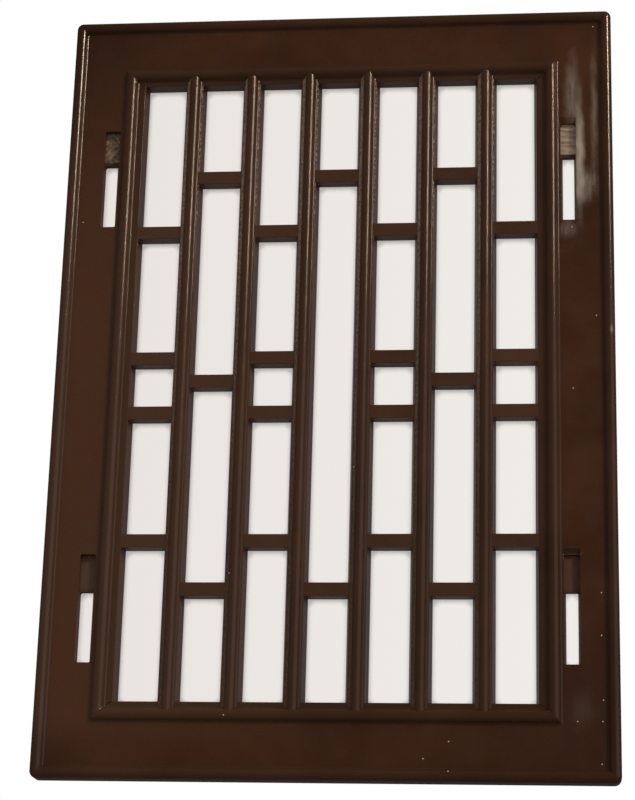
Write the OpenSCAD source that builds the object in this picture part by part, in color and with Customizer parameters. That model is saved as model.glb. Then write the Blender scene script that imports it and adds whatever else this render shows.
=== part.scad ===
// Ventilation grille: a moulded cover plate with a lattice of beaded bars and staggered cross ties.
// X runs to the right as seen from the front, Z runs up and the front faces -Y.
// The origin is the middle of the back plane, which lies against the wall.

/* [Plate] */
// Width of the plate
plate_w = 165; // [155:1:185]
// Height of the plate
plate_h = 235; // [228:1:270]
// Radius of the four outer corners
corner_r = 2; // [1:0.5:3]
// Height of the flat front face above the back plane
face_h = 4.7; // [4.4:0.1:6]
// Thickness of the flat margins
skin_t = 2; // [1.6:0.1:2.4]

/* [Rim] */
// Width of the half-round outer rim
rim_w = 3.4; // [3:0.1:4]
// Height of the rim above the front face
rim_rise = 1.7; // [1:0.05:1.7]
// Thickness of the skirt that runs back to the wall
skirt_t = 1.8; // [1.4:0.1:2.6]
// Radius of the hollow where a rim or bead meets the flat face
foot_r = 0.7; // [0.3:0.1:0.9]

/* [Border] */
// Distance from the plate's edge to the crest of the border bead
border_in = 18.3; // [17.8:0.1:19]
// Width of the border bead
border_w = 3.6; // [3.2:0.1:4]
// Height of the border bead above the front face
border_rise = 1.8; // [1.2:0.05:1.8]
// Width of the flat strip between the border bead and the windows, at the left and right
strip_w = 2.4; // [1.8:0.1:3]
// Width of that strip at the top and bottom
end_strip_w = 1.8; // [1.3:0.1:2.6]
// Thickness of the wall round the lattice
wall_t = 1.6; // [1.2:0.1:2]

/* [Bars] */
// Width of an upright bar at the front face
bar_w = 4.9; // [4.4:0.1:5.6]
// Width of the bead on a bar
bar_bead_w = 3.5; // [2.8:0.1:3.6]
// Height of the bead above the front face
bar_bead_rise = 1.55; // [1:0.05:1.7]
// How much wider a bar is at the back, on each side
draft = 0.8; // [0.3:0.05:0.9]
// Gap between the back of the lattice and the wall
back_gap = 0.5; // [0.3:0.1:1]
// Width of the coring groove in the back of a bar
groove_w = 2.4; // [1.6:0.1:2.8]
// Solid stretch left at each end of a coring groove
groove_stop = 3; // [1.5:0.5:8]

/* [Cross ties] */
// Height of a cross tie
tie_h = 4; // [3.2:0.1:4.6]
// Height of the small square window in the odd columns
square_h = 12.9; // [11:0.1:15]
// How far the square window's centre is below mid-height
square_drop = 1.6; // [0:0.1:2.5]
// Height of the window above the square one
upper_window_h = 36.2; // [34:0.1:38]
// Height of the window below the square one
lower_window_h = 34.8; // [33:0.1:37]
// Height of the end window at the top of the even columns
top_window_h = 28.8; // [26:0.1:31]
// Height of the end window at the bottom of the even columns
bottom_window_h = 30.5; // [28:0.1:33]
// How far the middle tie of the even columns is below mid-height
middle_drop = 0.3; // [0:0.1:1.5]

/* [Hook slots] */
// Width of a hook slot
hook_w = 4.6; // [4.2:0.1:5]
// Height of the shallow pocket that a hook comes to rest in
pocket_h = 10.7; // [9:0.1:13]
// Height of the through slot below the pocket
slot_h = 21; // [18:0.1:22.5]
// How much narrower the slot is at the back of the margin, on each side
slot_draft = 0.2; // [0.05:0.05:0.3]
// Gap between a slot and the foot of the border bead
hook_gap = 0.45; // [0.05:0.05:1]
// Distance from the plate's top edge to the upper pockets
upper_hook_in = 36.6; // [33:0.1:40]
// Distance from the plate's bottom edge to the lower slots
lower_hook_in = 33; // [29:0.1:37]
// Radius in the corners of a slot
hook_r = 0.6; // [0.3:0.1:1]
// Wall of the socket block round a slot
socket_wall = 1.5; // [1.2:0.1:2]
// Thickness of the pocket's floor
socket_t = 1.9; // [1.4:0.1:2.2]
// Length of the bevel that leads into a right-hand pocket
ramp_l = 1.6; // [1:0.1:2.5]
// Depth of that bevel
ramp_d = 0.9; // [0.4:0.1:1.4]

/* [Hidden] */
COLUMNS = 7;
BARS = COLUMNS - 1;
ROUND = 64;
// how far a cutting tool runs past the surface that it cuts
PAST = 1;
DARK_BROWN = [0.24, 0.15, 0.11];

half_w = plate_w / 2;
half_h = plate_h / 2;
skin_back = face_h - skin_t;
rim_in = rim_w / 2 + bead_foot(rim_w, rim_rise);
border_out = border_in - bead_foot(border_w, border_rise);
window_in = border_in + border_w / 2 + strip_w;
end_window_in = border_in + border_w / 2 + end_strip_w;
field_w = plate_w - 2 * window_in;
field_h = plate_h - 2 * end_window_in;
window_w = (field_w - BARS * bar_w) / COLUMNS;
pitch = window_w + bar_w;

// Heights of the cross ties' middles above mid-height, from the top down
square_z = -square_drop;
odd_levels = [
    square_z + square_h / 2 + tie_h * 3 / 2 + upper_window_h,
    square_z + square_h / 2 + tie_h / 2,
    square_z - square_h / 2 - tie_h / 2,
    square_z - square_h / 2 - tie_h * 3 / 2 - lower_window_h
];
top_level = field_h / 2 - top_window_h - tie_h / 2;
bottom_level = -field_h / 2 + bottom_window_h + tie_h / 2;
even_levels = [top_level, -middle_drop, bottom_level];
centre_levels = [top_level, bottom_level];
// the ties of each column, from the left
LADDERS = [odd_levels, even_levels, odd_levels, centre_levels, odd_levels, even_levels, odd_levels];

function column_x(column) = (column - (COLUMNS + 1) / 2) * pitch;
function bar_x(bar) = (bar - (BARS + 1) / 2) * pitch;
function bead_radius(width, rise) = (pow(width / 2, 2) + pow(rise, 2)) / (2 * rise);
// how far the hollow at a bead's foot ends from its crest
function bead_foot(width, rise) =
    sqrt(pow(bead_radius(width, rise) + foot_r, 2) - pow(bead_radius(width, rise) + foot_r - rise, 2));

// Cross-sections. The first axis runs inwards from the plate's edge or across a bar,
// the second runs from the back plane towards the front.

// a half-round bead on the flat face, with a hollow at its foot on each of the listed sides
module bead_section(middle, width, rise, feet) {
    radius = bead_radius(width, rise);
    foot = bead_foot(width, rise);
    lift = foot_r * rise / (radius + foot_r);
    translate([middle, face_h]) {
        intersection() {
            translate([0, rise - radius]) circle(radius, $fn = ROUND);
            translate([-width / 2, lift]) square([width, rise]);
        }
        for (side = [-1, 1]) {
            if (len(search(side, feet)) > 0) difference() {
                translate([min(0, side * foot), 0]) square([foot, lift]);
                translate([side * foot, foot_r]) circle(foot_r, $fn = ROUND);
            }
            else intersection() {
                translate([0, rise - radius]) circle(radius, $fn = ROUND);
                translate([min(0, side * width), 0]) square([width, lift]);
            }
        }
    }
}

module rim_section() {
    square([skirt_t, face_h]);
    translate([0, skin_back]) square([rim_in, skin_t]);
    bead_section(rim_w / 2, rim_w, rim_rise, feet = [1]);
}

// inner is where the windows start and toe how far the lattice wall spreads at the back
module border_section(inner, toe) {
    translate([border_out, skin_back]) square([inner - border_out, skin_t]);
    bead_section(border_in, border_w, border_rise, feet = [-1, 1]);
    polygon([
        [inner - wall_t, back_gap], [inner + toe, back_gap],
        [inner, face_h], [inner - wall_t, face_h]
    ]);
}

module bar_section() {
    polygon([
        [-bar_w / 2 - draft, back_gap], [bar_w / 2 + draft, back_gap],
        [bar_w / 2, face_h], [-bar_w / 2, face_h]
    ]);
}

module groove_section() {
    crown = skin_back - groove_w / 2;
    translate([-groove_w / 2, 0]) square([groove_w, crown]);
    translate([0, crown]) circle(groove_w / 2, $fn = ROUND);
}

// Solids from those sections and from outlines drawn on the front.

// runs a section along X, with its first axis pointing down from the plate's top edge
module along_x(length) {
    translate([-length / 2, 0, half_h]) rotate([0, 90, 0])
        linear_extrude(length) mirror([0, 1, 0]) children();
}

// runs a section along Z, with its first axis pointing to the right
module along_z(length) {
    translate([0, 0, -length / 2]) linear_extrude(length) mirror([0, 1, 0]) children();
}

// raises an outline in X and Z from one height above the back plane to another
module raised(from, to) {
    translate([0, -from, 0]) rotate([90, 0, 0]) linear_extrude(to - from) children();
}

module rounded_outline(width, height, radius) {
    square([width - 2 * radius, height], center = true);
    square([width, height - 2 * radius], center = true);
    for (x = [-1, 1], z = [-1, 1])
        translate([x * (width / 2 - radius), z * (height / 2 - radius)]) circle(radius, $fn = ROUND);
}

// the mitred band along the top edge, between two distances from that edge
module top_band(outer, inner) {
    polygon([
        [-half_w + outer, half_h - outer], [half_w - outer, half_h - outer],
        [half_w - inner, half_h - inner], [-half_w + inner, half_h - inner]
    ]);
}

// the same along the left edge
module left_band(outer, inner) {
    polygon([
        [-half_w + outer, -half_h + outer], [-half_w + inner, -half_h + inner],
        [-half_w + inner, half_h - inner], [-half_w + outer, half_h - outer]
    ]);
}

module plate_outline() {
    rounded_outline(plate_w, plate_h, corner_r);
}

// Rim

module rim_top() {
    color(DARK_BROWN) intersection() {
        along_x(plate_w) rim_section();
        raised(0, face_h + rim_rise) intersection() {
            plate_outline();
            top_band(0, rim_in);
        }
    }
}

module rim_left() {
    color(DARK_BROWN) intersection() {
        translate([-half_w, 0, 0]) along_z(plate_h) rim_section();
        raised(0, face_h + rim_rise) intersection() {
            plate_outline();
            left_band(0, rim_in);
        }
    }
}

// Margins and hook slots

// side is -1 for the left and 1 for the right, row is 0 for the upper and 1 for the lower slots
function hook_x(side) = side * (half_w - border_out + hook_gap + hook_w / 2);
function pocket_top(row) =
    row == 0 ? half_h - upper_hook_in : lower_hook_in + slot_h + pocket_h - half_h;

module hook_outline(side, row, top, height) {
    translate([hook_x(side), pocket_top(row) - top - height / 2])
        rounded_outline(hook_w, height, hook_r);
}

// a pocket is rounded at its top only, because it opens into the slot
module pocket_outline(side, row) {
    intersection() {
        hook_outline(side, row, 0, pocket_h + slot_h);
        translate([hook_x(side), pocket_top(row) - pocket_h / 2])
            square([hook_w, pocket_h], center = true);
    }
}

// a through slot, which narrows towards the back of the margin
module slot_cut(side, row) {
    intersection() {
        raised(skin_back, face_h) hook_outline(side, row, 0, pocket_h + slot_h);
        translate([hook_x(side), 0, pocket_top(row) - pocket_h - slot_h])
            linear_extrude(slot_h) polygon([
                [-hook_w / 2, -face_h], [hook_w / 2, -face_h],
                [hook_w / 2 - slot_draft, -skin_back], [-hook_w / 2 + slot_draft, -skin_back]
            ]);
    }
}

// the bevel above a pocket, as a wedge that is cut from the front face
module ramp_cut(side, row) {
    translate([hook_x(side) - hook_w / 2, 0, pocket_top(row)]) rotate([90, 0, 90])
        linear_extrude(hook_w)
            polygon([
                [-face_h - PAST, -hook_r], [-face_h + ramp_d, -hook_r],
                [-face_h + ramp_d, 0], [-face_h, ramp_l], [-face_h - PAST, ramp_l]
            ]);
}

module margin_top() {
    color(DARK_BROWN) raised(skin_back, face_h) top_band(rim_in, border_out);
}

module margin_side(side) {
    color(DARK_BROWN) difference() {
        raised(skin_back, face_h) difference() {
            if (side < 0) left_band(rim_in, border_out);
            else mirror([1, 0, 0]) left_band(rim_in, border_out);
            for (row = [0, 1]) pocket_outline(side, row);
        }
        for (row = [0, 1]) {
            slot_cut(side, row);
            if (side > 0) ramp_cut(side, row);
        }
    }
}

// the pocket's floor closes the upper part of the opening, the slot stays open
module hook_socket(side, row) {
    color(DARK_BROWN) raised(skin_back - socket_t, skin_back) difference() {
        translate([hook_x(side), pocket_top(row) - (pocket_h + slot_h) / 2])
            square([hook_w + 2 * socket_wall, pocket_h + slot_h + 2 * socket_wall], center = true);
        hook_outline(side, row, pocket_h, slot_h);
    }
}

// Border of the lattice

module rail_block() {
    raised(0, face_h + border_rise) top_band(border_out, end_window_in);
}

module border_top() {
    color(DARK_BROWN) intersection() {
        along_x(plate_w) border_section(end_window_in, 0);
        rail_block();
    }
}

module border_left() {
    color(DARK_BROWN) difference() {
        intersection() {
            translate([-half_w, 0, 0]) along_z(plate_h) border_section(window_in, draft);
            raised(0, face_h + border_rise)
                translate([-half_w + border_out, -half_h + border_out])
                    square([window_in + draft - border_out, plate_h - 2 * border_out]);
        }
        rail_block();
        mirror([0, 0, 1]) rail_block();
    }
}

// Lattice

module mullion(bar) {
    bead_l = plate_h - 2 * border_in;
    color(DARK_BROWN) translate([bar_x(bar), 0, 0]) {
        difference() {
            along_z(field_h) bar_section();
            along_z(field_h - 2 * groove_stop) groove_section();
        }
        difference() {
            along_z(bead_l) bead_section(0, bar_bead_w, bar_bead_rise, feet = [-1, 1]);
            for (end = [0, 1]) mirror([0, 0, end])
                along_x(bar_w) bead_section(border_in, border_w, border_rise, feet = [-1, 1]);
        }
    }
}

module tie(column, number) {
    color(DARK_BROWN)
        translate([column_x(column), 0, LADDERS[column - 1][number - 1] - tie_h / 2])
            linear_extrude(tie_h) polygon([
                [-window_w / 2, -face_h], [window_w / 2, -face_h],
                [window_w / 2 - draft, -back_gap], [-window_w / 2 + draft, -back_gap]
            ]);
}

rim_top();
mirror([0, 0, 1]) rim_top();  // rim_bottom
rim_left();
mirror([1, 0, 0]) rim_left();  // rim_right
margin_top();
mirror([0, 0, 1]) margin_top();  // margin_bottom
margin_side(-1);  // margin_left
margin_side(1);  // margin_right
hook_socket(-1, 0);  // hook_socket_upper_left
hook_socket(1, 0);  // hook_socket_upper_right
hook_socket(-1, 1);  // hook_socket_lower_left
hook_socket(1, 1);  // hook_socket_lower_right
border_top();
mirror([0, 0, 1]) border_top();  // border_bottom
border_left();
mirror([1, 0, 0]) border_left();  // border_right
mullion(1);  // mullion_1
mullion(2);  // mullion_2
mullion(3);  // mullion_3
mullion(4);  // mullion_4
mullion(5);  // mullion_5
mullion(6);  // mullion_6
for (column = [1:COLUMNS], number = [1:len(LADDERS[column - 1])])
    tie(column, number);
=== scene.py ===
"""A moulded ventilation grille in glossy dark brown plastic, laid over a white sheet.

Sizes are in millimetres and become metres where a mesh gets its points. A point is given by x,
its height above the back plane and z; the front faces -Y.
"""

import math

import bmesh
import bpy
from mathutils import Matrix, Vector


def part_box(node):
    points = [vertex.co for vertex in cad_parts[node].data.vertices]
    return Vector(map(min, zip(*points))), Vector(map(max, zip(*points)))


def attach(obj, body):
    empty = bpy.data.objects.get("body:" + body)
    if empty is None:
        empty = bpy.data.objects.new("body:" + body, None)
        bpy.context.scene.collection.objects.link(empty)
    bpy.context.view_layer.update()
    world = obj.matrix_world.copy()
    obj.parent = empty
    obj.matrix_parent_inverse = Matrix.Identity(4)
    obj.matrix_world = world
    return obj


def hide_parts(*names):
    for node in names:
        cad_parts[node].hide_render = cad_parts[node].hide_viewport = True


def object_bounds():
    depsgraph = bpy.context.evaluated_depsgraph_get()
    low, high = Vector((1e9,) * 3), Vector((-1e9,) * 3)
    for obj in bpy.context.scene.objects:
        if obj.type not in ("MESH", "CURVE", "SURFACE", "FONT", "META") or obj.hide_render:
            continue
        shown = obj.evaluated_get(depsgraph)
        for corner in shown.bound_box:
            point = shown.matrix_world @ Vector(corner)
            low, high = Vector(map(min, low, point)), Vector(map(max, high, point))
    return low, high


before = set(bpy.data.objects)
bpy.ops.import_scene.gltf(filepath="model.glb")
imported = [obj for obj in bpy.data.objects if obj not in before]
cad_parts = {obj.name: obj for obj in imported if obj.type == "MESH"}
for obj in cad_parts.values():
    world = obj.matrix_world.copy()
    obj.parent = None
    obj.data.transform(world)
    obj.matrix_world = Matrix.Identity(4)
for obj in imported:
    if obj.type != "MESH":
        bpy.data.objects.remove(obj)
cad_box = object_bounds()

MM = 0.001

# Sizes read from the solids
HALF_W = cad_box[1].x / MM
HALF_H = cad_box[1].z / MM


def front_of(node):
    return -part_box(node)[0].y / MM


def back_of(node):
    return -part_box(node)[1].y / MM


def left_of(node):
    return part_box(node)[0].x / MM


def right_of(node):
    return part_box(node)[1].x / MM


def top_of(node):
    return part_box(node)[1].z / MM


def bottom_of(node):
    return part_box(node)[0].z / MM


def middle_z(node):
    return (top_of(node) + bottom_of(node)) / 2


FACE = front_of("margin_top")
SKIN_BACK = back_of("margin_top")
LATTICE_BACK = back_of("border_top")
RIM_IN = HALF_H - top_of("margin_top")
RIM_RISE = front_of("rim_top") - FACE
BORDER_OUT = HALF_H - top_of("border_top")
BORDER_RISE = front_of("border_top") - FACE
BAR_RISE = front_of("mullion_1") - FACE
WINDOW_W = right_of("tie_1_1") - left_of("tie_1_1")
PITCH = left_of("tie_2_1") - left_of("tie_1_1")
BAR_W = PITCH - WINDOW_W
DRAFT = (right_of("mullion_1") - left_of("mullion_1") - BAR_W) / 2
WINDOW_IN = HALF_W + left_of("tie_1_1")
END_WINDOW_IN = HALF_H - bottom_of("border_top")
TIE_H = top_of("tie_1_1") - bottom_of("tie_1_1")
COLUMNS = 7
BARS = COLUMNS - 1

# Sections of the rim, the border and the bars
RIM_W = 3.4
RIM_CORNER_R = 2.0
RIM_MITRE_R = 0.2
SKIRT = 1.8
BORDER_W = 3.6
BORDER_CORNER_R = 0.4
BAR_BEAD_W = 3.5
FOOT_R = 0.7
WALL = 1.6
EDGE_R = 0.15
BACK_EDGE_R = 0.05
SKIRT_EDGE_R = 0.15
INNER_R = 0.5
GROOVE_W = 2.4
GROOVE_STOP = 3.0
SUNK = 0.2

# Hook slots
SLOT_EDGE_R = 0.25
SOCKET_WALL = 1.5
SLOT_H = 21.0
SLOT_LEAN = 0.6
SLOT_LEAN_OUTER = 0.25

# Fineness of the meshes
BEAD_STEPS = 22
FOOT_STEPS = 7
EDGE_STEPS = 4
CORNER_STEPS = 8
SLOT_EDGE_STEPS = 3
GROOVE_SIDES = 48
SHARP_ANGLE = math.radians(28)
FLAT_ANGLE = math.radians(1)
SAME_POINT = 1e-7
SAME_CORNER = 1e-6
ON_PLANE = 0.01
CLEAR = 0.05
FAR = 1e9


def bead_radius(width, rise):
    return width / 2 if rise >= width / 2 else ((width / 2) ** 2 + rise ** 2) / (2 * rise)


def bead_foot(width, rise):
    """How far the hollow at a bead's foot ends from the crest."""
    reach = bead_radius(width, rise) + FOOT_R
    return math.sqrt(reach ** 2 - (reach - rise) ** 2)


BORDER_IN = BORDER_OUT + bead_foot(BORDER_W, BORDER_RISE)


# Sections, as points (distance inwards, height). An arc's angles turn from straight forward to inward.

def arc(middle, height, radius, start, end, steps):
    turn = [math.radians(start + (end - start) * i / steps) for i in range(steps + 1)]
    return [(middle + radius * math.sin(a), height + radius * math.cos(a)) for a in turn]


def bead(middle, width, rise, feet=(-1, 1)):
    """The front of a half-round bead, with a hollow at the foot on each of the listed sides."""
    radius, foot = bead_radius(width, rise), bead_foot(width, rise)
    touch = math.degrees(math.asin(foot / (radius + FOOT_R)))
    bare = math.degrees(math.asin(min(width / 2 / radius, 1.0)))
    start, end = (-touch if -1 in feet else -bare), (touch if 1 in feet else bare)
    points = arc(middle, FACE + rise - radius, radius, start, end, BEAD_STEPS)
    if -1 in feet:
        points = arc(middle - foot, FACE + FOOT_R, FOOT_R, 180, 180 - touch, FOOT_STEPS)[:-1] + points
    if 1 in feet:
        points += arc(middle + foot, FACE + FOOT_R, FOOT_R, touch - 180, -180, FOOT_STEPS)[1:]
    return points


def depth_steps():
    """(depth below the face, how far the edge rounding opens a window) from front to back."""
    quarter = [math.radians(90 * i / EDGE_STEPS) for i in range(EDGE_STEPS + 1)]
    depth = FACE - LATTICE_BACK
    front = [(EDGE_R * (1 - math.cos(a)), EDGE_R * (1 - math.sin(a))) for a in quarter]
    back = [(depth - BACK_EDGE_R * (1 - math.cos(a)), BACK_EDGE_R * (1 - math.sin(a))) for a in quarter]
    return front + back[::-1]


def lean(depth):
    """How much narrower a window is on each side at a depth below the face."""
    return DRAFT * depth / (FACE - LATTICE_BACK)


# Meshes

def point(x, height, z):
    return Vector((x, -height, z)) * MM


def close_body(mesh, rings):
    """Joins rings of points into a closed body."""
    verts = [[mesh.verts.new(p) for p in ring] for ring in rings]
    count = len(verts[0])
    for near, far in zip(verts, verts[1:]):
        for i in range(count):
            j = (i + 1) % count
            mesh.faces.new((near[i], near[j], far[j], far[i]))
    mesh.faces.new(verts[0][::-1])
    mesh.faces.new(verts[-1])


def tidy(mesh):
    bmesh.ops.remove_doubles(mesh, verts=mesh.verts, dist=SAME_POINT)
    bmesh.ops.dissolve_degenerate(mesh, edges=mesh.edges, dist=SAME_POINT)
    bmesh.ops.recalc_face_normals(mesh, faces=mesh.faces)


def finished(name, mesh, material, nodes):
    """Makes a piece of a bmesh: smooth between its edges, in place, riding on the root body."""
    data = bpy.data.meshes.new(name)
    mesh.to_mesh(data)
    mesh.free()
    return finished_data(name, data, material, nodes)


def finished_data(name, data, material, nodes):
    """Makes a piece of a plain mesh, in the same way."""
    data.name = name
    data.shade_smooth()
    data.set_sharp_from_angle(angle=SHARP_ANGLE)
    piece = bpy.data.objects.new(name, data)
    bpy.context.scene.collection.objects.link(piece)
    if not data.materials:
        data.materials.append(material)
    even = piece.modifiers.new("Even shading", "WEIGHTED_NORMAL")
    even.mode = "FACE_AREA"
    even.weight = 100
    even.keep_sharp = True
    evaluated = piece.evaluated_get(bpy.context.evaluated_depsgraph_get())
    plain = bpy.data.meshes.new_from_object(evaluated)
    piece.modifiers.clear()
    piece.data = plain
    plain.name = name
    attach(piece, "root")
    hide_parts(*nodes)
    return piece


def side_path(half_len, half_across, corner, limit):
    """Stations (along, outward) of one side of a rectangle at a distance inside its edge, to both mitres."""
    def path(inset):
        r = corner(inset)
        turn = [math.radians(45 * i / CORNER_STEPS) for i in range(CORNER_STEPS + 1)]
        end = [(half_len - min(inset, limit) - r + r * math.sin(a),
                half_across - inset - r + r * math.cos(a)) for a in turn]
        return [(-t, n) for t, n in end[::-1]] + end
    return path


SIDES = {
    "top": (HALF_W, HALF_H, lambda t, n: (t, n)),
    "bottom": (HALF_W, HALF_H, lambda t, n: (t, -n)),
    "left": (HALF_H, HALF_W, lambda t, n: (-n, t)),
    "right": (HALF_H, HALF_W, lambda t, n: (n, t)),
}


def swept_side(mesh, side, profile, corner, limit=FAR):
    """Runs a closed section along one side of the plate, mitred at both ends."""
    half_len, half_across, turned = SIDES[side]
    path = side_path(half_len, half_across, corner, limit)
    columns = [[(turned(t, n), h) for t, n in path(u)] for u, h in profile]
    rings = [[point(xz[0], h, xz[1]) for xz, h in ring] for ring in zip(*columns)]
    close_body(mesh, rings)


# Rim

def rim_profile():
    """The rim's section: skirt, bead, foot on the margin, and the hollow behind the margin."""
    outer = arc(SKIRT_EDGE_R, SKIRT_EDGE_R, SKIRT_EDGE_R, 180, 270, EDGE_STEPS)
    hollow = arc(SKIRT + INNER_R, SKIN_BACK - INNER_R, INNER_R, 0, -90, EDGE_STEPS)
    inner = arc(SKIRT - SKIRT_EDGE_R, SKIRT_EDGE_R, SKIRT_EDGE_R, 90, 180, EDGE_STEPS)
    return outer + bead(RIM_W / 2, RIM_W, RIM_RISE, feet=(1,)) + [(RIM_IN, SKIN_BACK)] + hollow + inner


def rim_corner(inset):
    """The radius of the rim's corners at a distance inside the plate's edge."""
    return max(RIM_CORNER_R - inset, min(RIM_MITRE_R, RIM_IN - inset), 0.0)


# Border of the lattice

def border_corner(inset):
    """The radius of the border's corners at a distance inside the plate's edge."""
    return max(min(BORDER_CORNER_R, inset - BORDER_OUT, WINDOW_IN - WALL - inset), 0.0)


def border_profile(inner, leans):
    """The border's section, from the foot of its bead over the flat strip to the lattice wall at inner."""
    wall = [(inner - opened + leans * lean(depth), FACE - depth) for depth, opened in depth_steps()]
    back = [(inner - WALL, LATTICE_BACK), (inner - WALL, SKIN_BACK), (BORDER_OUT, SKIN_BACK)]
    return bead(BORDER_IN, BORDER_W, BORDER_RISE) + wall + back


def border_rail(side, material):
    mesh = bmesh.new()
    swept_side(mesh, side, border_profile(END_WINDOW_IN, 0), border_corner)
    tidy(mesh)
    return finished("border_rail_" + side, mesh, material, ["border_" + side])


def border_stile(side, material):
    mesh = bmesh.new()
    swept_side(mesh, side, border_profile(WINDOW_IN, 1), border_corner, limit=END_WINDOW_IN - EDGE_R)
    tidy(mesh)
    return finished("border_stile_" + side, mesh, material, ["border_" + side])


def rim_side(side, material):
    mesh = bmesh.new()
    swept_side(mesh, side, rim_profile(), rim_corner)
    tidy(mesh)
    return finished("rim_bead_" + side, mesh, material, ["rim_" + side])


# Small helpers for node trees

def add_input(tree, name, kind, value=None):
    socket = tree.interface.new_socket(name=name, in_out="INPUT", socket_type=kind)
    if value is not None:
        socket.default_value = value
    return socket


def add_output(tree, name, kind):
    return tree.interface.new_socket(name=name, in_out="OUTPUT", socket_type=kind)


def node(tree, kind, inputs=None, **settings):
    """Adds a node; inputs maps a socket's name or number to a value or to another node's output."""
    made = tree.nodes.new(kind)
    for name, value in settings.items():
        setattr(made, name, value)
    for key, value in (inputs or {}).items():
        if isinstance(value, bpy.types.NodeSocket):
            tree.links.new(value, made.inputs[key])
        else:
            made.inputs[key].default_value = value
    return made


def run_tree(tree, start, values):
    """Runs a Geometry Nodes tree on a mesh and returns the plain mesh it makes."""
    source = bpy.data.objects.new(tree.name + " source", start)
    bpy.context.scene.collection.objects.link(source)
    modifier = source.modifiers.new("Shape", "NODES")
    modifier.node_group = tree
    for item in tree.interface.items_tree:
        if item.item_type == "SOCKET" and item.in_out == "INPUT" and item.name in values:
            modifier[item.identifier] = values[item.name]
    evaluated = source.evaluated_get(bpy.context.evaluated_depsgraph_get())
    made = bpy.data.meshes.new_from_object(evaluated)
    source.modifiers.clear()
    bpy.data.objects.remove(source)
    return made


# Upright bars

def bar_section_points():
    """The section of a bar as (across, height), clockwise from its left front edge."""
    half = BAR_W / 2
    right = [(half - opened + lean(depth), FACE - depth) for depth, opened in depth_steps()]
    left = [(-x, h) for x, h in right[::-1]]
    return left + bead(0, BAR_BEAD_W, BAR_RISE) + right


def stub_section_points():
    """The bead alone, sunk a little into the strip that it crosses."""
    foot = bead_foot(BAR_BEAD_W, BAR_RISE)
    return bead(0, BAR_BEAD_W, BAR_RISE) + [(foot, FACE - SUNK), (-foot, FACE - SUNK)]


def bar_start():
    """Three flat sections, each with the length it is to be drawn out to: the bar and its bead's two ends."""
    body_end = HALF_H - END_WINDOW_IN + EDGE_R
    bead_end = HALF_H - BORDER_IN - SUNK
    mesh = bmesh.new()
    run = mesh.faces.layers.float.new("run")
    bead_only = mesh.faces.layers.bool.new("bead only")
    bar_outline = bar_section_points()
    for outline, start, end in ((bar_outline, -body_end, body_end),
                                (stub_section_points(), -bead_end, -body_end),
                                (stub_section_points(), body_end, bead_end)):
        face = mesh.faces.new([mesh.verts.new(point(x, h, start)) for x, h in outline])
        face.normal_update()
        if face.normal.z < 0:
            face.normal_flip()
        face[run] = (end - start) * MM
        face[bead_only] = outline is not bar_outline
    data = bpy.data.meshes.new("Bar sections")
    mesh.to_mesh(data)
    mesh.free()
    return data


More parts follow.
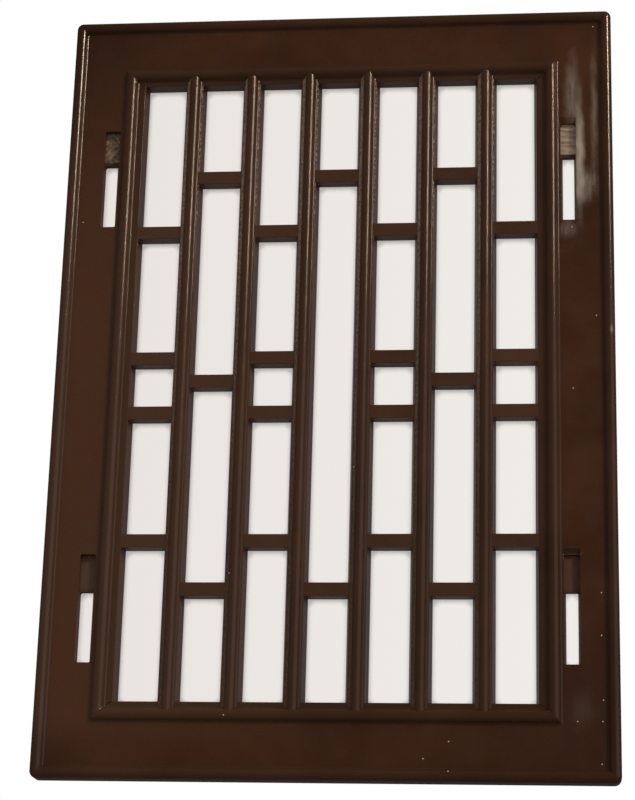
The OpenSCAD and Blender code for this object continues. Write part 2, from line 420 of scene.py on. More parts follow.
def bar_tree():
    """Draws the sections out to a bar, cores it from behind and sets it at its place across the plate."""
    tree = bpy.data.node_groups.new("Upright bar", "GeometryNodeTree")
    add_input(tree, "Geometry", "NodeSocketGeometry")
    add_input(tree, "Place", "NodeSocketFloat", 0.0)
    add_input(tree, "Groove Width", "NodeSocketFloat", 0.0024)
    add_input(tree, "Groove Length", "NodeSocketFloat", 0.18)
    add_input(tree, "Groove Crown", "NodeSocketFloat", 0.0016)
    add_input(tree, "Material", "NodeSocketMaterial")
    add_output(tree, "Geometry", "NodeSocketGeometry")
    given = node(tree, "NodeGroupInput").outputs
    run = node(tree, "GeometryNodeInputNamedAttribute", {"Name": "run"}, data_type="FLOAT")
    along = node(tree, "ShaderNodeCombineXYZ", {"Z": run.outputs["Attribute"]})
    drawn = node(tree, "GeometryNodeExtrudeMesh",
                 {"Mesh": given["Geometry"], "Offset": along.outputs[0], "Offset Scale": 1.0,
                  "Individual": False}, mode="FACES")
    base = node(tree, "GeometryNodeFlipFaces", {"Mesh": given["Geometry"]})
    joined = node(tree, "GeometryNodeJoinGeometry")
    tree.links.new(drawn.outputs["Mesh"], joined.inputs[0])
    tree.links.new(base.outputs[0], joined.inputs[0])
    ends = node(tree, "GeometryNodeInputNamedAttribute", {"Name": "bead only"}, data_type="BOOLEAN")
    parted = node(tree, "GeometryNodeSeparateGeometry",
                  {"Geometry": joined.outputs[0], "Selection": ends.outputs["Attribute"]}, domain="FACE")
    whole = node(tree, "GeometryNodeMergeByDistance", {"Geometry": parted.outputs["Inverted"],
                                                        "Distance": SAME_POINT})
    whole_ends = node(tree, "GeometryNodeMergeByDistance", {"Geometry": parted.outputs["Selection"],
                                                             "Distance": SAME_POINT})

    radius = node(tree, "ShaderNodeMath", {0: given["Groove Width"], 1: 0.5}, operation="MULTIPLY")
    deep = node(tree, "ShaderNodeMath", {0: given["Groove Crown"], 1: 2.0}, operation="MULTIPLY")
    size = node(tree, "ShaderNodeCombineXYZ",
                {"X": given["Groove Width"], "Y": deep.outputs[0], "Z": given["Groove Length"]})
    trough = node(tree, "GeometryNodeMeshCube", {"Size": size.outputs[0]})
    crown = node(tree, "GeometryNodeMeshCylinder",
                 {"Vertices": GROOVE_SIDES, "Radius": radius.outputs[0], "Depth": given["Groove Length"]})
    height = node(tree, "ShaderNodeMath", {0: given["Groove Crown"], 1: -1.0}, operation="MULTIPLY")
    lift = node(tree, "ShaderNodeCombineXYZ", {"Y": height.outputs[0]})
    crown_up = node(tree, "GeometryNodeTransform", {"Geometry": crown.outputs["Mesh"],
                                                     "Translation": lift.outputs[0]})
    cutter = node(tree, "GeometryNodeMeshBoolean", operation="UNION", solver="EXACT")
    tree.links.new(trough.outputs["Mesh"], cutter.inputs["Mesh 2"])
    tree.links.new(crown_up.outputs[0], cutter.inputs["Mesh 2"])
    cored = node(tree, "GeometryNodeMeshBoolean", operation="DIFFERENCE", solver="EXACT")
    tree.links.new(whole.outputs[0], cored.inputs["Mesh 1"])
    tree.links.new(cutter.outputs["Mesh"], cored.inputs["Mesh 2"])
    bar = node(tree, "GeometryNodeJoinGeometry")
    tree.links.new(cored.outputs["Mesh"], bar.inputs[0])
    tree.links.new(whole_ends.outputs[0], bar.inputs[0])

    offset = node(tree, "ShaderNodeCombineXYZ", {"X": given["Place"]})
    spot = node(tree, "GeometryNodeMeshLine", {"Count": 1, "Start Location": offset.outputs[0]})
    placed = node(tree, "GeometryNodeInstanceOnPoints",
                  {"Points": spot.outputs["Mesh"], "Instance": bar.outputs[0]})
    real = node(tree, "GeometryNodeRealizeInstances", {0: placed.outputs["Instances"]})
    painted = node(tree, "GeometryNodeSetMaterial",
                   {"Geometry": real.outputs[0], "Material": given["Material"]})
    result = node(tree, "NodeGroupOutput")
    tree.links.new(painted.outputs[0], result.inputs[0])
    return tree


def bar_x(number):
    return (number - (BARS + 1) / 2) * PITCH


def bars(material):
    """The six upright bars, each cored from behind."""
    tree, start = bar_tree(), bar_start()
    field_h = 2 * (HALF_H - END_WINDOW_IN)
    for number in range(1, BARS + 1):
        data = run_tree(tree, start, {
            "Place": bar_x(number) * MM,
            "Groove Width": GROOVE_W * MM,
            "Groove Length": (field_h - 2 * GROOVE_STOP) * MM,
            "Groove Crown": (SKIN_BACK - GROOVE_W / 2) * MM,
            "Material": material,
        })
        finished_data("upright_bar_%d" % number, data, material, ["mullion_%d" % number])
    bpy.data.meshes.remove(start)


# Cross ties

def tie_mesh():
    """One cross tie at mid-height, long enough to end under the rounded edges of the bars."""
    mesh = bmesh.new()
    reach = WINDOW_W / 2 + EDGE_R
    rings = []
    for depth, opened in depth_steps():
        up = TIE_H / 2 - opened
        corners = ((-reach, up), (reach, up), (reach, -up), (-reach, -up))
        rings.append([point(x, FACE - depth, z) for x, z in corners])
    close_body(mesh, rings)
    tidy(mesh)
    data = bpy.data.meshes.new("Cross tie")
    mesh.to_mesh(data)
    mesh.free()
    return data


def ladder_tree():
    """Sets a copy of the tie at every point and turns the copies into one mesh."""
    tree = bpy.data.node_groups.new("Ladder of ties", "GeometryNodeTree")
    add_input(tree, "Geometry", "NodeSocketGeometry")
    add_input(tree, "Tie", "NodeSocketObject")
    add_input(tree, "Material", "NodeSocketMaterial")
    add_output(tree, "Geometry", "NodeSocketGeometry")
    given = node(tree, "NodeGroupInput").outputs
    tie = node(tree, "GeometryNodeObjectInfo", {"Object": given["Tie"]})
    placed = node(tree, "GeometryNodeInstanceOnPoints",
                  {"Points": given["Geometry"], "Instance": tie.outputs["Geometry"]})
    real = node(tree, "GeometryNodeRealizeInstances", {0: placed.outputs["Instances"]})
    painted = node(tree, "GeometryNodeSetMaterial",
                   {"Geometry": real.outputs[0], "Material": given["Material"]})
    result = node(tree, "NodeGroupOutput")
    tree.links.new(painted.outputs[0], result.inputs[0])
    return tree


def column_x(column):
    return (column - (COLUMNS + 1) / 2) * PITCH


def ladders(material):
    """The cross ties of each column, at the heights of their solids."""
    tree = ladder_tree()
    model = bpy.data.objects.new("Cross tie", tie_mesh())
    bpy.context.scene.collection.objects.link(model)
    for column in range(1, COLUMNS + 1):
        names = sorted(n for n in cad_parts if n.startswith("tie_%d_" % column))
        points = bpy.data.meshes.new("Levels")
        points.from_pydata([point(column_x(column), 0, middle_z(n)) for n in names], [], [])
        data = run_tree(tree, points, {"Tie": model, "Material": material})
        finished_data("cross_ties_%d" % column, data, material, names)
        bpy.data.meshes.remove(points)
    bpy.data.objects.remove(model)


# Side margins and hook sockets, from their solids with the edges of the openings rounded

def merged_copy(name):
    """A copy of a solid's mesh, with its loose triangles joined into flat faces."""
    mesh = bmesh.new()
    mesh.from_mesh(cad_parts[name].data)
    bmesh.ops.remove_doubles(mesh, verts=mesh.verts, dist=SAME_CORNER)
    bmesh.ops.dissolve_limit(mesh, angle_limit=FLAT_ANGLE, verts=mesh.verts, edges=mesh.edges)
    return mesh


def lean_slot_walls(mesh, side):
    """Brings the walls of the through slots in towards the back, as the moulding's draft does."""
    for row in ("upper", "lower"):
        socket = "hook_socket_%s_%s" % (row, side)
        middle = (left_of(socket) + right_of(socket)) / 2
        half = (right_of(socket) - left_of(socket)) / 2 - SOCKET_WALL
        for vert in mesh.verts:
            across, z = vert.co.x / MM - middle, vert.co.z / MM
            if abs(-vert.co.y / MM - SKIN_BACK) > ON_PLANE or abs(across) > half - CLEAR:
                continue
            if bottom_of(socket) < z < top_of(socket):
                drawn = SLOT_LEAN_OUTER if across < 0 and side == "left" else SLOT_LEAN
                vert.co.x = (middle + math.copysign(half - drawn, across)) * MM


def margin_side(side, material):
    """A margin with rounded edges round its two hook slots."""
    name = "margin_" + side
    mesh = merged_copy(name)
    lean_slot_walls(mesh, side)
    inner, outer = HALF_W - RIM_IN, HALF_W - BORDER_OUT

    def is_opening_edge(edge):
        ends = [v.co for v in edge.verts]
        if any(abs(-c.y / MM - FACE) > ON_PLANE for c in ends):
            return False
        return all(outer + CLEAR < abs(c.x / MM) < inner - CLEAR for c in ends)

    edges = [e for e in mesh.edges if is_opening_edge(e)]
    bmesh.ops.bevel(mesh, geom=edges, offset=SLOT_EDGE_R * MM, segments=SLOT_EDGE_STEPS, profile=0.5,
                    affect="EDGES", clamp_overlap=True)
    return finished("side_margin_" + side, mesh, material, [name])


def hook_socket(row, side, material):
    name = "hook_socket_%s_%s" % (row, side)
    return finished("hook_pocket_%s_%s" % (row, side), merged_copy(name), material, [name])


# Materials

def new_material(name):
    material = bpy.data.materials.new(name)
    material.use_nodes = True
    material.node_tree.nodes.clear()
    return material, material.node_tree


def srgb(red, green, blue):
    """A colour written in the usual 0 to 255 steps, as Blender wants it."""
    def linear(c):
        c /= 255
        return c / 12.92 if c <= 0.04045 else ((c + 0.055) / 1.055) ** 2.4
    return (linear(red), linear(green), linear(blue), 1.0)


# Browns of the moulding, as pairs of a lighter and a darker cloud, and a paler colour towards the left
BROWN_LIGHT = srgb(78, 45, 20)
BROWN_DARK = srgb(62, 34, 13)
BROWN_LEFT = srgb(83, 52, 31)
# Beads and ties: the same plastic in paler, greyer browns, which paint the sheen of light on them
BEAD_LIGHT = srgb(73, 47, 31)
BEAD_DARK = srgb(58, 38, 25)
BEAD_LEFT = srgb(76, 53, 38)
TIE_LIGHT = srgb(82, 53, 33)
TIE_DARK = srgb(69, 43, 27)
TIE_LEFT = srgb(82, 56, 38)
CORNER_BROWN = (0.025, 0.009, 0.003, 1.0)
POCKET_SIDE = srgb(70, 41, 23)

# Wear, and pale marks that also paint highlights and sheen
HAZE_AND_HIGHLIGHT = srgb(180, 168, 151)
DUST = srgb(205, 196, 180)
SCUFF_AND_SHEEN = srgb(168, 140, 116)
HAZE_ROUGHNESS = 0.5
SCUFF_AND_SHEEN_ROUGHNESS = 0.45
SCUFF_AND_SHEEN_INSET = 0.05
PATCH_DEPTH = 1.5

# Scales of the patterns, in repeats per metre
CLOUDS = 28.0
POLISH = 160.0
WAVES = 90.0
PEEL = 900.0
GRAIN = 3600.0
WANDER = 180.0
STREAKS = 1000.0
SCUFF_AND_SHEEN_GRAINS = 1500.0
MOTTLE = 1300.0
CUTTER_LINES = 1100.0

# The white sheet, the room, the lamp and the camera
# The sheet's two whites paint light falling off towards the left
SHEET_LEFT = srgb(233, 227, 223)
SHEET_RIGHT = srgb(239, 235, 231)
SHEET_SHADE_REACH = 0.0026
SHEET_GAP = 0.5
SHEET_INSET = 6.5
FLOOR_HALF = 1.6
FLOOR_LEVEL = -0.3
WINDOW_SIDE = (0.752, -0.652, 0.1)
LAMP_PLACE = (1.25, -1.12, 1.0)
LAMP_WIDTH = 0.36
LAMP_WATTS = 14.2
CAMERA_PLACE = (0.067354, -0.638648, -0.216942)
CAMERA_TURN = (108.26435, -1.50001, 5.93140)
CAMERA_LENS = 103.5455


def blend(tree, share, first, second):
    """Mixes two colours, or two numbers, by a share."""
    plain = isinstance(first, float) or getattr(first, "type", "") == "VALUE"
    if plain:
        return node(tree, "ShaderNodeMix", {0: share, 2: first, 3: second}).outputs[0]
    return node(tree, "ShaderNodeMix", {0: share, 6: first, 7: second}, data_type="RGBA").outputs[2]


def math_of(tree, operation, *values):
    return node(tree, "ShaderNodeMath", dict(enumerate(values)), operation=operation).outputs[0]


def stretch(tree, value, low, high, to_low=0.0, to_high=1.0, smooth=False):
    """Maps low to high onto another range, and stops at its ends."""
    made = node(tree, "ShaderNodeMapRange", {"Value": value, "From Min": low, "From Max": high,
                                             "To Min": to_low, "To Max": to_high})
    if smooth:
        made.interpolation_type = "SMOOTHSTEP"
    return made.outputs[0]


def noise(tree, vector, scale, detail=2.0, roughness=0.5, distortion=0.0):
    return node(tree, "ShaderNodeTexNoise", {"Vector": vector, "Scale": scale, "Detail": detail,
                                             "Roughness": roughness, "Distortion": distortion}).outputs["Fac"]


def place_of(tree):
    """A point's place on the grille, in metres."""
    return node(tree, "ShaderNodeTexCoord").outputs["Object"]


def scaled(tree, vector, factors):
    return node(tree, "ShaderNodeVectorMath", {0: vector, 1: factors}, operation="MULTIPLY").outputs[0]


def moulded_skin_group():
    """The skin of a glossy moulding: cloudy colour, paler towards the left, uneven polish and waviness."""
    tree = bpy.data.node_groups.new("Moulded skin", "ShaderNodeTree")
    add_input(tree, "Light Brown", "NodeSocketColor", BROWN_LIGHT)
    add_input(tree, "Dark Brown", "NodeSocketColor", BROWN_DARK)
    add_input(tree, "Faded Brown", "NodeSocketColor", BROWN_LEFT)
    add_input(tree, "Smoothest", "NodeSocketFloat", 0.2)
    add_input(tree, "Roughest", "NodeSocketFloat", 0.34)
    add_input(tree, "Grain", "NodeSocketFloat", 0.0)
    add_input(tree, "Polish Below", "NodeSocketFloat", 0.0)
    add_output(tree, "Color", "NodeSocketColor")
    add_output(tree, "Roughness", "NodeSocketFloat")
    add_output(tree, "Height", "NodeSocketFloat")
    given = node(tree, "NodeGroupInput").outputs
    place = place_of(tree)
    clouds = stretch(tree, noise(tree, place, CLOUDS, 3.0, 0.55, 0.6), 0.3, 0.7)
    parts = node(tree, "ShaderNodeSeparateXYZ", {0: place}).outputs
    cloudy = blend(tree, clouds, given["Dark Brown"], given["Light Brown"])
    upper_left = math_of(tree, "SUBTRACT", parts["Z"], parts["X"])
    corners = stretch(tree, math_of(tree, "ABSOLUTE", upper_left), 0.13, 0.19, 0.0, 0.45, smooth=True)
    moulded = blend(tree, corners, cloudy, CORNER_BROWN)
    leftwards = stretch(tree, parts["X"], 0.03, -0.082, smooth=True)
    below_top = stretch(tree, parts["Z"], 0.115, 0.02, smooth=True)
    above_bottom = stretch(tree, parts["Z"], -0.113, -0.098, smooth=True)
    left_share = math_of(tree, "MULTIPLY", math_of(tree, "MULTIPLY", leftwards, below_top), above_bottom)
    # Paler towards the left; on the beads and ties this colour is greyer, part of their painted sheen
    colour = blend(tree, left_share, moulded, given["Faded Brown"])
    polish = noise(tree, place, POLISH, 4.0, 0.6)
    downwards = stretch(tree, parts["Z"], 0.085, 0.03, smooth=True)
    polished = math_of(tree, "MULTIPLY", downwards, given["Polish Below"])
    uneven = stretch(tree, polish, 0.3, 0.7, given["Smoothest"], given["Roughest"])
    rough = math_of(tree, "SUBTRACT", uneven, polished)
    waves = math_of(tree, "MULTIPLY", noise(tree, place, WAVES, 1.0), 4.0)
    peel = math_of(tree, "ADD", waves, noise(tree, place, PEEL))
    upwards = stretch(tree, parts["Z"], -0.01, 0.08, 0.25, 1.0, smooth=True)
    grain_height = math_of(tree, "MULTIPLY", upwards, given["Grain"])
    grain = math_of(tree, "MULTIPLY", noise(tree, place, GRAIN, 2.0, 0.6), grain_height)
    height = math_of(tree, "ADD", peel, grain)
    result = node(tree, "NodeGroupOutput")
    tree.links.new(colour, result.inputs["Color"])
    tree.links.new(rough, result.inputs["Roughness"])
    tree.links.new(height, result.inputs["Height"])
    return tree


def rubbed_and_highlight_patch_group():
    """A patch with soft ends and streaks along the plate, round a middle point: mostly dulled wear, and at
    the lower right pocket a painted highlight.
    """
    tree = bpy.data.node_groups.new("Rubbed patch", "ShaderNodeTree")
    add_input(tree, "Middle", "NodeSocketVector")
    add_input(tree, "Reach", "NodeSocketVector", (1.0, 1.0, 1.0))
    add_input(tree, "Strength", "NodeSocketFloat", 0.5)
    add_input(tree, "Streaks", "NodeSocketFloat", 0.5)
    add_output(tree, "Mask", "NodeSocketFloat")
    given = node(tree, "NodeGroupInput").outputs
    place = place_of(tree)
    away = node(tree, "ShaderNodeVectorMath", {0: place, 1: given["Middle"]}, operation="SUBTRACT")
    wander = node(tree, "ShaderNodeTexNoise", {"Vector": place, "Scale": WANDER, "Detail": 2.0})
    shift = node(tree, "ShaderNodeVectorMath", {0: wander.outputs["Color"], 1: (0.5, 0.5, 0.5)},
                 operation="SUBTRACT")
    share = node(tree, "ShaderNodeVectorMath", {0: away.outputs[0], 1: given["Reach"]}, operation="DIVIDE")
    bent = node(tree, "ShaderNodeVectorMath",
                {0: shift.outputs[0], 1: (0.9, 0.9, 0.9), 2: share.outputs[0]}, operation="MULTIPLY_ADD")
    distance = node(tree, "ShaderNodeVectorMath", {0: bent.outputs[0]}, operation="LENGTH")
    inside = stretch(tree, distance.outputs["Value"], 1.35, 0.0, smooth=True)
    along = scaled(tree, place, (1.0, 1.0, 0.22))
    lines = stretch(tree, noise(tree, along, STREAKS, 3.0, 0.6), 0.3, 0.68)
    broken = blend(tree, given["Streaks"], 1.0, lines)
    mask = math_of(tree, "MULTIPLY", math_of(tree, "MULTIPLY", inside, broken), given["Strength"])
    result = node(tree, "NodeGroupOutput")
    tree.links.new(mask, result.inputs["Mask"])
    return tree


def bar_scuff_and_sheen_group():
    """Pale scuffs along the left flank and the right front edge of every upright bar, strongest near the top:
    on the flank they paint a reflection of the white sheet, on the edge a speckled highlight, both fading
    downwards like the lamp's lines of light.
    """
    tree = bpy.data.node_groups.new("Bar scuffs", "ShaderNodeTree")
    add_input(tree, "Pitch", "NodeSocketFloat", 0.01785)
    add_input(tree, "Left Flank", "NodeSocketFloat", 0.0018)
    add_input(tree, "Right Edge", "NodeSocketFloat", 0.0024)
    add_output(tree, "Mask", "NodeSocketFloat")
    given = node(tree, "NodeGroupInput").outputs
    place = place_of(tree)
    parts = node(tree, "ShaderNodeSeparateXYZ", {0: place})
    turns = math_of(tree, "FRACT", math_of(tree, "DIVIDE", parts.outputs["X"], given["Pitch"]))
    across = math_of(tree, "MULTIPLY", math_of(tree, "SUBTRACT", turns, 0.5), given["Pitch"])
    from_flank = math_of(tree, "ABSOLUTE", math_of(tree, "ADD", across, given["Left Flank"]))
    from_edge = math_of(tree, "ABSOLUTE", math_of(tree, "SUBTRACT", across, given["Right Edge"]))
    flank = stretch(tree, from_flank, 0.0007, 0.0002, smooth=True)
    edge = stretch(tree, from_edge, 0.00035, 0.00005, smooth=True)
    grains = noise(tree, scaled(tree, place, (1.0, 1.0, 0.7)), SCUFF_AND_SHEEN_GRAINS, 3.0, 0.6)
    flank_grains = stretch(tree, grains, 0.35, 0.68, 0.25, 1.0)
    edge_grains = stretch(tree, grains, 0.5, 0.62)
    upwards = stretch(tree, parts.outputs["Z"], -0.06, 0.09, 0.25, 1.0, smooth=True)
    near_top = stretch(tree, parts.outputs["Z"], 0.03, 0.08, smooth=True)
    flanks = math_of(tree, "MULTIPLY", math_of(tree, "MULTIPLY", flank, flank_grains), upwards)
    edges = math_of(tree, "MULTIPLY", math_of(tree, "MULTIPLY", edge, edge_grains), near_top)
    result = node(tree, "NodeGroupOutput")
    tree.links.new(math_of(tree, "MAXIMUM", flanks, edges), result.inputs["Mask"])
    return tree


def dust_group():
    """Sparse pale specks of dust."""
    tree = bpy.data.node_groups.new("Dust specks", "ShaderNodeTree")
    add_input(tree, "Spacing", "NodeSocketFloat", 0.007)
    add_input(tree, "Speck Size", "NodeSocketFloat", 0.00018)
    add_input(tree, "Share", "NodeSocketFloat", 0.02)
    add_output(tree, "Mask", "NodeSocketFloat")
    given = node(tree, "NodeGroupInput").outputs
    scale = math_of(tree, "DIVIDE", 1.0, given["Spacing"])
    parts = node(tree, "ShaderNodeSeparateXYZ", {0: place_of(tree)})
    flat = node(tree, "ShaderNodeCombineXYZ", {0: parts.outputs["X"], 1: parts.outputs["Z"]})
    cells = node(tree, "ShaderNodeTexVoronoi", {"Vector": flat.outputs[0], "Scale": scale},
                 voronoi_dimensions="2D")
    reach = math_of(tree, "MULTIPLY", given["Speck Size"], scale)
    inside = math_of(tree, "LESS_THAN", cells.outputs["Distance"], reach)
    pick = node(tree, "ShaderNodeSeparateColor", {0: cells.outputs["Color"]})
    chosen = math_of(tree, "LESS_THAN", pick.outputs[0], given["Share"])
    result = node(tree, "NodeGroupOutput")
    tree.links.new(math_of(tree, "MULTIPLY", inside, chosen), result.inputs["Mask"])
    return tree


def matt_floor_group():
    """The unpolished floor of a hook pocket: mottled or streaked across, with pale colours that in part paint
    the sheen of light on the rough floor, and dark just above the slot.
    """
    tree = bpy.data.node_groups.new("Matt floor", "ShaderNodeTree")
    add_input(tree, "Light Brown", "NodeSocketColor", srgb(150, 120, 95))
    add_input(tree, "Dark Brown", "NodeSocketColor", srgb(112, 84, 60))
    add_input(tree, "Side Brown", "NodeSocketColor", POCKET_SIDE)
    add_input(tree, "Floor Height", "NodeSocketFloat", 0.0027)
    add_input(tree, "Streaks", "NodeSocketFloat", 0.0)
    add_input(tree, "Slot Top", "NodeSocketFloat", 0.0)
    add_input(tree, "Dark End", "NodeSocketFloat", 0.001)
    add_input(tree, "Dark Share", "NodeSocketFloat", 0.5)
    add_output(tree, "Color", "NodeSocketColor")
    add_output(tree, "Roughness", "NodeSocketFloat")
    add_output(tree, "Height", "NodeSocketFloat")
    given = node(tree, "NodeGroupInput").outputs
    place = place_of(tree)
    parts = node(tree, "ShaderNodeSeparateXYZ", {0: place})
    depth = math_of(tree, "ADD", parts.outputs["Y"], given["Floor Height"])
    on_floor = math_of(tree, "LESS_THAN", depth, 0.00005)
    mottle = noise(tree, place, MOTTLE, 4.0, 0.65, 0.4)
    lines = noise(tree, scaled(tree, place, (0.12, 1.0, 1.0)), CUTTER_LINES, 2.0, 0.5)
    relief = blend(tree, given["Streaks"], mottle, lines)
    mottled = blend(tree, stretch(tree, relief, 0.38, 0.62), given["Dark Brown"], given["Light Brown"])
    above_slot = math_of(tree, "DIVIDE", math_of(tree, "SUBTRACT", parts.outputs["Z"], given["Slot Top"]),
                         given["Dark End"])
    shaded = math_of(tree, "MULTIPLY", stretch(tree, above_slot, 1.3, 0.7, smooth=True), given["Dark Share"])
    floor = blend(tree, shaded, mottled, given["Side Brown"])
    colour = blend(tree, on_floor, given["Side Brown"], floor)
    result = node(tree, "NodeGroupOutput")
    tree.links.new(colour, result.inputs["Color"])
    tree.links.new(stretch(tree, relief, 0.3, 0.7, 0.5, 0.7), result.inputs["Roughness"])
    tree.links.new(relief, result.inputs["Height"])
    return tree


def shade(tree, colour, roughness, height, bump):
    """Ends a material in a shader with a fine relief, bump metres high."""
    relief = node(tree, "ShaderNodeBump", {"Height": height, "Strength": 1.0, "Distance": bump})
    shader = node(tree, "ShaderNodeBsdfPrincipled", {
        "Base Color": colour, "Roughness": roughness, "Normal": relief.outputs["Normal"], "IOR": 1.5})
    out = node(tree, "ShaderNodeOutputMaterial")
    tree.links.new(shader.outputs[0], out.inputs[0])


def set_inputs(group, values):
    """Sets a node group's inputs; a_name stands for its input A Name."""
    for key, value in values.items():
        group.inputs[key.replace("_", " ").title()].default_value = value


def plastic(name, groups, patches=(), front=FACE, scuffed_and_sheened=False, dusty=0.02, bump=0.00001, **values):
    """The grille's plastic. Each patch is (x, z, reach across, reach along, strength, streaks), in mm."""
    material, tree = new_material(name)
    base = node(tree, "ShaderNodeGroup", node_tree=groups["skin"])
    set_inputs(base, values)
    colour, roughness = base.outputs["Color"], base.outputs["Roughness"]
    for x, z, across, along, strength, streaks in patches:
        patch = node(tree, "ShaderNodeGroup", node_tree=groups["patch"])
        set_inputs(patch, {"Middle": (x * MM, -front * MM, z * MM),
                           "Reach": (across * MM, PATCH_DEPTH * MM, along * MM),
                           "Strength": strength, "Streaks": streaks})
        # Pale patches: dulled haze of wear, and at the lower right pocket a painted highlight
        colour = blend(tree, patch.outputs["Mask"], colour, HAZE_AND_HIGHLIGHT)
        roughness = blend(tree, patch.outputs["Mask"], roughness, HAZE_ROUGHNESS)
    # Pale scuffs on the bars, with a painted reflection of the white sheet on their left flanks and a painted
    # speckled highlight on their right edges
    if scuffed_and_sheened:
        scuffs_and_sheen = node(tree, "ShaderNodeGroup", node_tree=groups["scuffs_and_sheen"])
        set_inputs(scuffs_and_sheen, {"Pitch": PITCH * MM, "Right Edge": (BAR_W / 2 - SCUFF_AND_SHEEN_INSET) * MM})
        colour = blend(tree, scuffs_and_sheen.outputs["Mask"], colour, SCUFF_AND_SHEEN)
        roughness = blend(tree, scuffs_and_sheen.outputs["Mask"], roughness, SCUFF_AND_SHEEN_ROUGHNESS)
    dust = node(tree, "ShaderNodeGroup", node_tree=groups["dust"])
    set_inputs(dust, {"Share": dusty})
    colour = blend(tree, dust.outputs["Mask"], colour, DUST)
    shade(tree, colour, roughness, base.outputs["Height"], bump)
    return material


def socket_plastic(row, side, groups, bump=0.00006, **values):
    """The plastic of one hook pocket, whose floor was left unpolished and whose floor colours in part paint a
    sheen of light.
    """
    material, tree = new_material("Pocket plastic %s %s" % (row, side))
    base = node(tree, "ShaderNodeGroup", node_tree=groups["floor"])
    slot_top = bottom_of("hook_socket_%s_%s" % (row, side)) + SOCKET_WALL + SLOT_H
    set_inputs(base, {"Floor Height": SKIN_BACK * MM, "Slot Top": slot_top * MM, **values})
    shade(tree, base.outputs["Color"], base.outputs["Roughness"], base.outputs["Height"], bump)
    return material


# Stage: a white sheet behind the grille, a pale floor, soft light from the upper right

def stage_surface(name, corners, material):
    """A stage surface with four corners."""
    data = bpy.data.meshes.new(name)
    data.from_pydata(corners, [], [(0, 1, 2, 3)])
    data.materials.append(material)
    surface = bpy.data.objects.new(name, data)
    bpy.context.scene.collection.objects.link(surface)


def pale_floor():
    material, tree = new_material("Pale floor")
    path = node(tree, "ShaderNodeLightPath")
    pale = node(tree, "ShaderNodeBsdfDiffuse", {"Color": (0.5, 0.49, 0.48, 1)})
    dim = node(tree, "ShaderNodeBsdfDiffuse", {"Color": (0.06, 0.06, 0.06, 1)})
    mix = node(tree, "ShaderNodeMixShader", {0: path.outputs["Is Glossy Ray"], 1: pale.outputs[0],
                                             2: dim.outputs[0]})
    out = node(tree, "ShaderNodeOutputMaterial")
    tree.links.new(mix.outputs[0], out.inputs[0])
    half, level = FLOOR_HALF, FLOOR_LEVEL
    stage_surface("Floor", [(-half, -half, level), (half, -half, level),
                            (half, half, level), (-half, half, level)], material)


def white_sheet():
    """Shows white through the windows from the front, shaded under their ceilings; clear from behind."""
    material, tree = new_material("White sheet")
    across = node(tree, "ShaderNodeSeparateXYZ", {0: place_of(tree)})
    # Brighter towards the right: a painted falloff of light across the sheet
    tint = blend(tree, stretch(tree, across.outputs["X"], -0.08, 0.07), SHEET_LEFT, SHEET_RIGHT)
    under = node(tree, "ShaderNodeAmbientOcclusion",
                 {"Distance": SHEET_SHADE_REACH, "Normal": (-0.3, -0.5, 0.8)}, samples=12)
    open_share = stretch(tree, under.outputs["AO"], 0.54, 0.8, 0.5, 1.0)
    path = node(tree, "ShaderNodeLightPath")
    weaker = stretch(tree, path.outputs["Is Glossy Ray"], 0.0, 1.0, 1.0, 0.2)
    strength = math_of(tree, "MULTIPLY", open_share, weaker)
    pale = node(tree, "ShaderNodeEmission", {"Color": tint, "Strength": strength})
    seen = math_of(tree, "MAXIMUM", path.outputs["Is Camera Ray"], path.outputs["Is Glossy Ray"])
    side = node(tree, "ShaderNodeNewGeometry")
    front = math_of(tree, "SUBTRACT", 1.0, side.outputs["Backfacing"])
    shown = math_of(tree, "MULTIPLY", seen, front)
    clear = node(tree, "ShaderNodeBsdfTransparent")
    mix = node(tree, "ShaderNodeMixShader", {0: shown, 1: clear.outputs[0], 2: pale.outputs[0]})
    out = node(tree, "ShaderNodeOutputMaterial")
    tree.links.new(mix.outputs[0], out.inputs[0])
    wide, high, gap = (HALF_W - SHEET_INSET) * MM, (HALF_H - SHEET_INSET) * MM, SHEET_GAP * MM
    stage_surface("Sheet", [(-wide, gap, -high), (wide, gap, -high),
                            (wide, gap, high), (-wide, gap, high)], material)


def room():
    """An even room, white where the camera sees it, and dim but for a bright side in the gloss."""
    made = bpy.data.worlds.new("Studio")
    bpy.context.scene.world = made
    made.use_nodes = True
    tree = made.node_tree
    tree.nodes.clear()
    path = node(tree, "ShaderNodeLightPath")
    seen = math_of(tree, "MAXIMUM", path.outputs["Is Camera Ray"], path.outputs["Is Transmission Ray"])
    direction = node(tree, "ShaderNodeTexCoord").outputs["Generated"]
    facing = node(tree, "ShaderNodeSeparateXYZ", {0: direction})
    overhead = stretch(tree, facing.outputs["Z"], -0.4, 0.8, 0.26, 0.72)
    even = node(tree, "ShaderNodeBackground", {"Color": (0.92, 0.95, 1.0, 1), "Strength": overhead})
    near_window = node(tree, "ShaderNodeVectorMath", {0: direction, 1: WINDOW_SIDE},
                       operation="DOT_PRODUCT").outputs["Value"]
    bright_side = stretch(tree, near_window, 0.7, 0.96, 0.05, 0.42, smooth=True)
    gloss = node(tree, "ShaderNodeBackground", {"Color": (1.0, 0.96, 0.9, 1), "Strength": bright_side})
    white = node(tree, "ShaderNodeBackground", {"Color": (1, 1, 1, 1), "Strength": 1.0})
    reflected = node(tree, "ShaderNodeMixShader", {0: path.outputs["Is Glossy Ray"], 1: even.outputs[0],
                                                   2: gloss.outputs[0]})
    whole = node(tree, "ShaderNodeMixShader", {0: seen, 1: reflected.outputs[0], 2: white.outputs[0]})
    out = node(tree, "ShaderNodeOutputWorld")
    tree.links.new(whole.outputs[0], out.inputs[0])


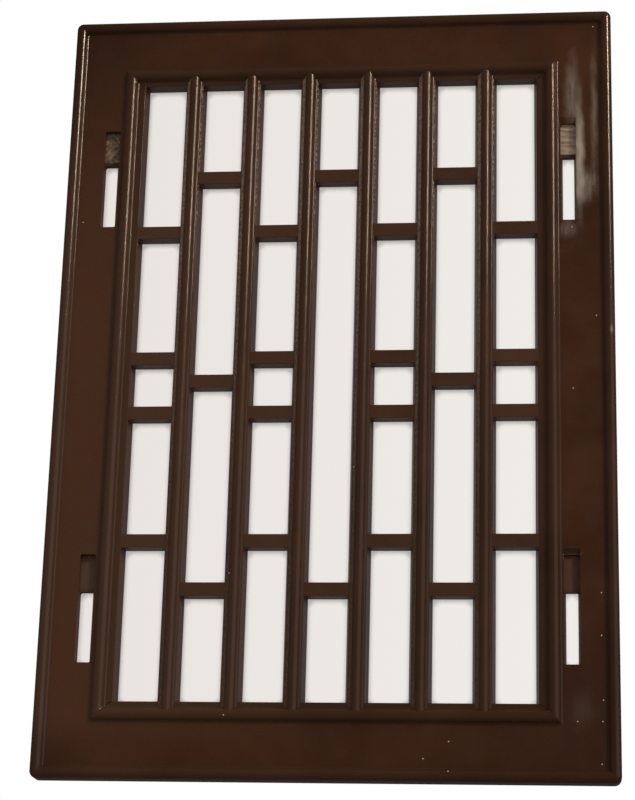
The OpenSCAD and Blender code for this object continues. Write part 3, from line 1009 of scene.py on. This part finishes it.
def window_light():
    """One soft round lamp at the upper right, which draws the lines of light along the beads."""
    data = bpy.data.lights.new("Window light", "AREA")
    data.shape = "DISK"
    data.size = LAMP_WIDTH
    data.energy = LAMP_WATTS
    data.color = (1.0, 0.77, 0.58)
    lamp = bpy.data.objects.new("Window light", data)
    bpy.context.scene.collection.objects.link(lamp)
    lamp.location = LAMP_PLACE
    lamp.rotation_mode = "QUATERNION"
    lamp.rotation_quaternion = (-Vector(LAMP_PLACE)).to_track_quat("-Z", "Y")
    lamp.visible_camera = False


def camera():
    """The photograph's place: below the middle and a little to the right of it."""
    data = bpy.data.cameras.new("Camera")
    data.sensor_width = 36.0
    data.sensor_fit = "AUTO"
    data.lens = CAMERA_LENS
    data.clip_start, data.clip_end = 0.05, 20.0
    made = bpy.data.objects.new("Camera", data)
    bpy.context.scene.collection.objects.link(made)
    made.location = CAMERA_PLACE
    made.rotation_euler = [math.radians(a) for a in CAMERA_TURN]
    bpy.context.scene.camera = made


# Wear seen on the plate, and a painted highlight at the lower right pocket, each as (x, z, reach across,
# reach along, strength, streaks), in mm
RIM_NICK = ((81.4, 14.0, 0.6, 1.7, 0.4, 0.3),)
RIGHT_MARGIN_WEAR_AND_HIGHLIGHT = (
    (70.6, 89.0, 2.6, 15.0, 0.38, 0.7),
    (77.1, 84.0, 1.2, 22.0, 0.3, 0.6),
    (72.7, 70.0, 1.6, 18.0, 1.0, 0.4),
    (74.2, 60.5, 3.8, 6.5, 0.55, 0.8),
    (69.0, 46.5, 3.0, 3.0, 0.35, 0.8),
    (72.0, -97.5, 4.0, 6.0, 0.06, 0.3),
    # These two paint a highlight: a pale line and a bright dot along the top edge of the lower right pocket
    (69.3, -52.9, 2.6, 0.35, 0.45, 0.0),
    (67.4, -54.0, 0.45, 0.5, 1.0, 0.0),
)
# The upper pockets' pale floors paint the sheen of light on their rough, tool-marked floors; the lower floors
# are nearer the plastic's own brown
POCKET_FLOORS_AND_SHEEN = {
    ("upper", "left"): dict(light_brown=srgb(148, 123, 94), dark_brown=srgb(75, 57, 39), dark_share=1.0),
    ("upper", "right"): dict(light_brown=srgb(193, 170, 144), dark_brown=srgb(134, 113, 92), streaks=0.8,
                             dark_share=1.0),
    ("lower", "left"): dict(light_brown=srgb(101, 71, 50), dark_brown=srgb(92, 64, 44), bump=0.00001),
    ("lower", "right"): dict(light_brown=srgb(94, 55, 29), dark_brown=srgb(84, 47, 23), bump=0.00001),
}

camera()
room()
pale_floor()
white_sheet()
window_light()

groups = {"skin": moulded_skin_group(), "patch": rubbed_and_highlight_patch_group(), "scuffs_and_sheen": bar_scuff_and_sheen_group(),
          "dust": dust_group(), "floor": matt_floor_group()}
# Beads and ties take paler, greyer browns, painting a sheen of light on them
bead_browns_and_sheen = dict(light_brown=BEAD_LIGHT, dark_brown=BEAD_DARK, faded_brown=BEAD_LEFT)
brown = plastic("Brown plastic", groups)
rim_brown = plastic("Rim plastic", groups, patches=RIM_NICK, front=FACE + RIM_RISE, smoothest=0.06,
                    roughest=0.1, grain=2.5, polish_below=-0.03, **bead_browns_and_sheen)
border_brown = plastic("Border plastic", groups, smoothest=0.13, roughest=0.2, grain=5.0, polish_below=0.05,
                       **bead_browns_and_sheen)
bar_brown = plastic("Bar plastic", groups, scuffed_and_sheened=True, smoothest=0.15, roughest=0.24, grain=5.0,
                    polish_below=0.07, **bead_browns_and_sheen)
tie_brown = plastic("Tie plastic", groups, light_brown=TIE_LIGHT, dark_brown=TIE_DARK, faded_brown=TIE_LEFT)
right_brown = plastic("Right margin plastic", groups, patches=RIGHT_MARGIN_WEAR_AND_HIGHLIGHT, dusty=0.13)

for side in ("top", "bottom", "left", "right"):
    rim_side(side, rim_brown)
border_rail("top", border_brown)
border_rail("bottom", border_brown)
border_stile("left", border_brown)
border_stile("right", border_brown)
bars(bar_brown)
ladders(tie_brown)
margin_side("left", brown)
margin_side("right", right_brown)
for (row, side), floor_and_sheen in POCKET_FLOORS_AND_SHEEN.items():
    hook_socket(row, side, socket_plastic(row, side, groups, **floor_and_sheen))
for name in ("margin_top", "margin_bottom"):
    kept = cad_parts[name]
    kept.data.materials.clear()
    kept.data.materials.append(brown)

bpy.context.scene.view_settings.view_transform = "Standard"
